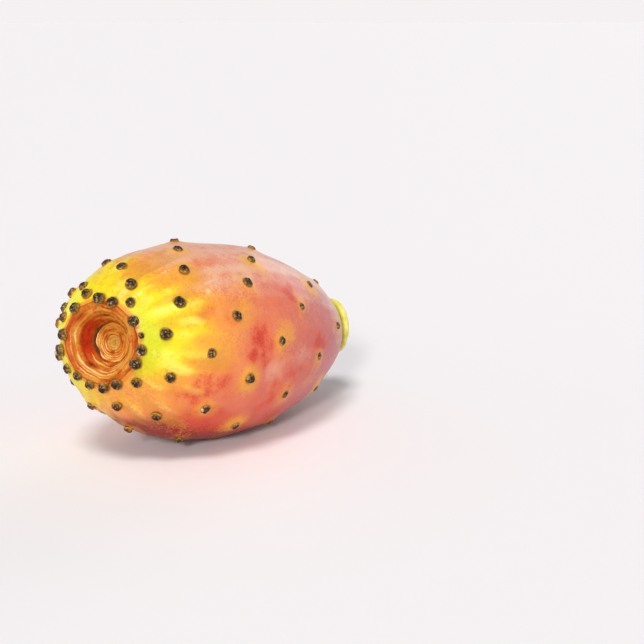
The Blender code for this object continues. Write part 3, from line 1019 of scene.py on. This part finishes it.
def layer_edge(value, low, high, amount, fine):
    """How much a layer covers; its edge is soft, or broken up by the mottle."""
    if fine == 0:
        return fit_range(value, low, high, 0.0, amount)
    broken = stirred(stirred(value, speckle, fine), mottle, EDGE_MOTTLE)
    middle = (EDGE_MOTTLE + fine) / 2
    return fit_range(broken, low + middle, high + middle, 0.0, amount)


stipple = fit_range(stirred(speckle, uneven_ripeness, -1.3), -0.2, 0.5, 0.0, 0.34)
skin_colour = tint(skin_colour, "#CC4034", stipple)
for name, code, *edge in SKIN_LAYERS:
    skin_colour = tint(skin_colour, code, layer_edge(mask(name), *edge))
# Darker pores and patches over everything
shade = fit_range(stirred(speckle, mottle, 0.6), 0.2, 1.4, 0.80, 0.96, "LINEAR")
mottled = add("ShaderNodeVectorMath", {0: skin_colour, "Scale": shade}, operation="SCALE").outputs[0]
tree.links.new(mottled, shader.inputs["Base Color"])
rough_surface(grain(0.9, 2.0), 0.14, 0.12 * MM)
set_inputs({"Roughness": 0.45, "Specular IOR Level": 0.24, "Coat Weight": 0.16, "Coat Roughness": 0.18})
set_inputs({"Subsurface Weight": 0.12, "Subsurface Scale": 0.6})
set_inputs({"Subsurface Radius": (0.0020, 0.0008, 0.0003)})
skin_mesh.materials.append(skin_material)

# %% [markdown]
# ### Corky scar tissue
# Where the flower was, the fruit healed over with dry, corky tissue. It is
# matt to satin, orange on the shelves and brown in the creases, darkened
# further there with painted shade, nearly cream on the crests with a painted
# highlight that is strongest on the low side, with a straw-coloured disc in the
# middle and a few rusty blotches. The far wall glows red, because there the
# tissue is thin and light comes through the flesh.

# %% Scar material
scar_material, tree, shader = start_material("corky_scar_tissue")
in_mm = millimetres()
cork = grain(0.8, 5.0, 0.7)
flecks = grain(0.35, 3.0, 0.6)
# Radius as a share of the rim's, and 1 on the wall away from the camera's side
scar_radius = mask("scar_radius")
far_wall = mask("far_wall")
# Brown in the creases, orange on the shelves, amber on the crests: the cork's own colours, laid by
# height as painted shade and highlight
scar_height = calculate("MULTIPLY_ADD", mask("scar_relief"), 1.7, -0.06)
SCAR_RUN = ((0.10, "#4C1E04"), (0.26, "#8E3C08"), (0.44, "#B65C14"), (0.72, "#CC8A30"))
scar_colour = colour_run(stirred(scar_height, cork, 0.7), SCAR_RUN)
# The far wall, patchy red
wall_in = fit_range(stirred(scar_radius, cork, 0.16), 0.60, 0.72)
wall_out = fit_range(scar_radius, 0.70, 0.79, 1.0, 0.0)
patchy_red = fit_range(cork, 0.35, 0.62, 0.55, 0.95)
red_wall = product(wall_in, wall_out, fit_range(far_wall, 0.25, 0.85), patchy_red)
scar_colour = tint(scar_colour, "#B02402", red_wall)
# Painted shade in the crease at its foot
brown_in = fit_range(scar_radius, 0.46, 0.50)
brown_out = fit_range(stirred(scar_radius, cork, 0.15), 0.62, 0.70, 1.0, 0.0)
painted_crease_shade = product(brown_in, brown_out, fit_range(far_wall, 0.2, 0.8), 0.8)
scar_colour = tint(scar_colour, "#6A3A10", painted_crease_shade)
# The shelf above it, and rusty blotches outside the bowl
red_shelf = fit_range(stirred(cork, far_wall, 0.35), 0.62, 0.95, 0.0, 0.6)
scar_colour = tint(scar_colour, "#B23C10", product(red_shelf, fit_range(scar_radius, 0.80, 0.88)))
rusty = fit_range(grain(2.6, 3.0), 0.52, 0.66, 0.0, 0.62)
scar_colour = tint(scar_colour, "#B4340A", product(rusty, fit_range(scar_radius, 0.50, 0.62)))
# The disc, and a painted highlight on the crests
disc = fit_range(stirred(scar_radius, cork, 0.08), 0.22, 0.29, 0.75, 0.0)
scar_colour = tint(scar_colour, "#C4983E", product(disc, fit_range(cork, 0.35, 0.6, 0.55, 1.0)))
crest = fit_range(stirred(mask("scar_crest_highlight"), flecks, 0.7), 0.70, 1.25, 0.0, 0.74)
scar_colour = tint(scar_colour, "#F2CE8C", crest)
tree.links.new(scar_colour, shader.inputs["Base Color"])
rough_surface(cork, 0.4, 0.2 * MM)
set_inputs({"Roughness": 0.6, "Specular IOR Level": 0.14})
set_inputs({"Subsurface Weight": 0.10, "Subsurface Scale": 0.5})
set_inputs({"Subsurface Radius": (0.002, 0.0008, 0.0004)})
skin_mesh.materials.append(scar_material)
scar_faces = np.zeros(len(skin_mesh.polygons), dtype=np.int32)
is_scar_vertex = on_scar | on_rim
for polygon in skin_mesh.polygons:
    if all(is_scar_vertex[index] for index in polygon.vertices):
        scar_faces[polygon.index] = 1
skin_mesh.polygons.foreach_set("material_index", scar_faces)

# %% [markdown]
# ### Areole felt
# The felt is a mat of short hairs, pressed flat by rubbing, with a faint shine.
# It is darkest in the dimple, brown on the shoulder and olive where it meets
# the skin, and flecked all over with tan tufts and dark gaps half a millimetre
# wide. From a step away the flecks make it look like felt and not like a bead.
# Towards the stem it is browner. A few areoles have a pale worn chip.

# %% Areole material
felt_material, tree, shader = start_material("rubbed_areole_felt")
in_mm = millimetres()
hairs = grain(0.42, 3.0, 0.7)
clumps = grain(1.1, 2.0)
height = stirred(stirred(mask("rise"), hairs, 0.55), clumps, 0.60)
height = fit_range(height, 0.5, 1.6, kind="LINEAR")
# From the foot to the dimple, in olive brown and in tan
FELT_PLACES = (0.00, 0.36, 0.62, 0.80, 0.94)
OLIVE_FELT = ("#A08236", "#7A5E2E", "#563E20", "#422C16", "#24170B")
TAN_FELT = ("#C48A34", "#9A6830", "#6A4424", "#4A2E18", "#27160B")
dark_felt = colour_run(height, list(zip(FELT_PLACES, OLIVE_FELT)))
tan_felt = colour_run(height, list(zip(FELT_PLACES, TAN_FELT)))
felt_colour = tint(dark_felt, tan_felt, fit_range(mask("tan"), 0.55, 0.95))
felt_colour = tint(felt_colour, "#8A5A22", fit_range(mask("to_crown"), 0.60, 0.15, 0.0, 0.55))
flecks = grain(0.62, 2.0, 0.6)
felt_colour = tint(felt_colour, "#1C1108", fit_range(flecks, 0.49, 0.39, 0.0, 0.70))
felt_colour = tint(felt_colour, "#BE9660", fit_range(flecks, 0.55, 0.66, 0.0, 0.75))
felt_colour = tint(felt_colour, "#D8B898", mask("chip"))
tree.links.new(felt_colour, shader.inputs["Base Color"])
rough_surface(hairs, 0.6, 0.3 * MM)
set_inputs({"Roughness": 0.6, "Specular IOR Level": 0.12, "Coat Weight": 0.22, "Coat Roughness": 0.14})
felt_mesh.materials.append(felt_material)

# %% [markdown]
# ### Pad skin
# The pad's skin is tougher than the fruit's, a satin yellow-green that turns
# pale yellow along the torn edge. The break itself has dried to dark brown.

# %% Pad material
pad_material, tree, shader = start_material("cactus_pad_skin")
in_mm = millimetres()
broken = mask("broken")
stain = grain(2.0, 5.0, 0.65)
# Green on the flat side, pale yellow on the torn edge, olive inside it
PAD_RUN = (
    (0.25, "#A9AE44"), (0.42, "#8E9A2A"), (0.54, "#C8C23C"),
    (0.64, "#EDE07A"), (0.74, "#9A9A2C"), (0.85, "#6E6A20"),
)
DRY_RUN = ((0.35, "#3A2412"), (0.55, "#6B4522"), (0.75, "#9A7038"))
pad_colour = colour_run(stirred(mask("path"), stain, 0.25), PAD_RUN)
dry_colour = colour_run(stain, DRY_RUN)
tree.links.new(tint(pad_colour, dry_colour, broken), shader.inputs["Base Color"])
rough_surface(stain, 0.5, 0.4 * MM)
tree.links.new(fit_range(broken, 0.0, 1.0, 0.42, 0.85, "LINEAR"), shader.inputs["Roughness"])
set_inputs({"Subsurface Weight": 0.1, "Subsurface Radius": (0.002, 0.002, 0.0006)})
scrap_mesh.materials.append(pad_material)

# %% [markdown]
# ## Floor, light and camera
# The fruit lies on a plain pale table in an even, bright room. A large soft
# light high in front gives the close shadow, and a faint low one behind the
# pale sheen along the top. A smaller one in front puts a small light on every
# areole, fold and ring, and the white surroundings fill the rest.
# Area lamps would leave a bright pool on the table. Distant lamps that look
# large are as soft, and light the table evenly.

# %% Floor
FLOOR_REACH = 400.0
floor_build = bmesh.new()
bmesh.ops.create_grid(floor_build, x_segments=1, y_segments=1, size=FLOOR_REACH)
floor_mesh = finish_mesh(floor_build, "floor")
floor = put_in_scene("floor", floor_mesh)
floor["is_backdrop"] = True
floor_material, tree, shader = start_material("matt_white_card")
set_inputs({"Base Color": colour("#F7F4F4"), "Roughness": 0.9, "Specular IOR Level": 0.2})
floor_mesh.materials.append(floor_material)

# %% Camera at the photograph's place
PICTURE_SIZE = 644
FOCAL_PIXELS = 1300
SENSOR = 36.0
CAMERA_TURN = -51.33 * DEGREE
CAMERA_HEIGHT = 13.0 * DEGREE
CAMERA_DISTANCE = 340.75 * MM
WIDEST_PIXEL = (216.0, 338.9)

camera_data = bpy.data.cameras.new("camera")
camera_data.sensor_width = SENSOR
camera_data.lens = FOCAL_PIXELS / PICTURE_SIZE * SENSOR
camera_data.clip_start, camera_data.clip_end = 0.01, 1000
camera = put_in_scene("camera", camera_data)
camera.rotation_euler = (math.pi / 2 - CAMERA_HEIGHT, 0, CAMERA_TURN)
right, above, back = (Vector(column) for column in camera.rotation_euler.to_matrix().transposed())
widest = Vector(axis_point(np.array(0.0)))
off_right = (WIDEST_PIXEL[0] - PICTURE_SIZE / 2) / FOCAL_PIXELS * CAMERA_DISTANCE
off_above = (PICTURE_SIZE / 2 - WIDEST_PIXEL[1]) / FOCAL_PIXELS * CAMERA_DISTANCE
camera.location = widest + back * CAMERA_DISTANCE - right * off_right - above * off_above
scene.camera = camera
print("camera at, mm:", [round(value / MM) for value in camera.location])


# %% Lights
def soft_sun(name, turn, height, spread, power):
    """Distant light of this apparent size, from this turn and height."""
    light = bpy.data.lights.new(name, "SUN")
    light.angle = spread
    light.energy = power
    lamp = put_in_scene(name, light)
    turn += CAMERA_TURN
    level = math.cos(height)
    away = Vector((math.sin(turn) * level, -math.cos(turn) * level, math.sin(height)))
    lamp.rotation_euler = away.to_track_quat("Z", "Y").to_euler()


soft_sun("panel_high", -12 * DEGREE, 60 * DEGREE, 17 * DEGREE, 1.52)
soft_sun("strip_back", 155 * DEGREE, 20 * DEGREE, 30 * DEGREE, 0.38)
soft_sun("lamp_front", -8 * DEGREE, 24 * DEGREE, 9 * DEGREE, 1.45)

# The room: bright paper round the table, a greyer ceiling above it
world = bpy.data.worlds.new("white_room")
scene.world = world
world.use_nodes = True
tree = world.node_tree
direction = add("ShaderNodeTexCoord").outputs["Generated"]
steepness = add("ShaderNodeSeparateXYZ", {"Vector": direction}).outputs["Z"]
ceiling = ((0.0, "#F5F1F2"), (0.30, "#F5F1F2"), (0.50, "#8E8D90"), (1.0, "#7A7A7E"))
walls = colour_run(steepness, ceiling)
tree.links.new(walls, tree.nodes["Background"].inputs["Color"])
tree.nodes["Background"].inputs["Strength"].default_value = 1.0
scene.view_settings.view_transform = "Standard"
scene.view_settings.look = "None"

# %% [markdown]
# ## Sizes
# The finished pieces should fill the same box as the CAD model, give or take
# the lumps. Both boxes are printed, and kept side by side in one table.

# %% The two boxes
visual_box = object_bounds()
sizes = {"cad": [list(corner) for corner in cad_box], "visual": [list(corner) for corner in visual_box]}
print("visual box, mm:", [[round(value / MM, 1) for value in corner] for corner in visual_box])
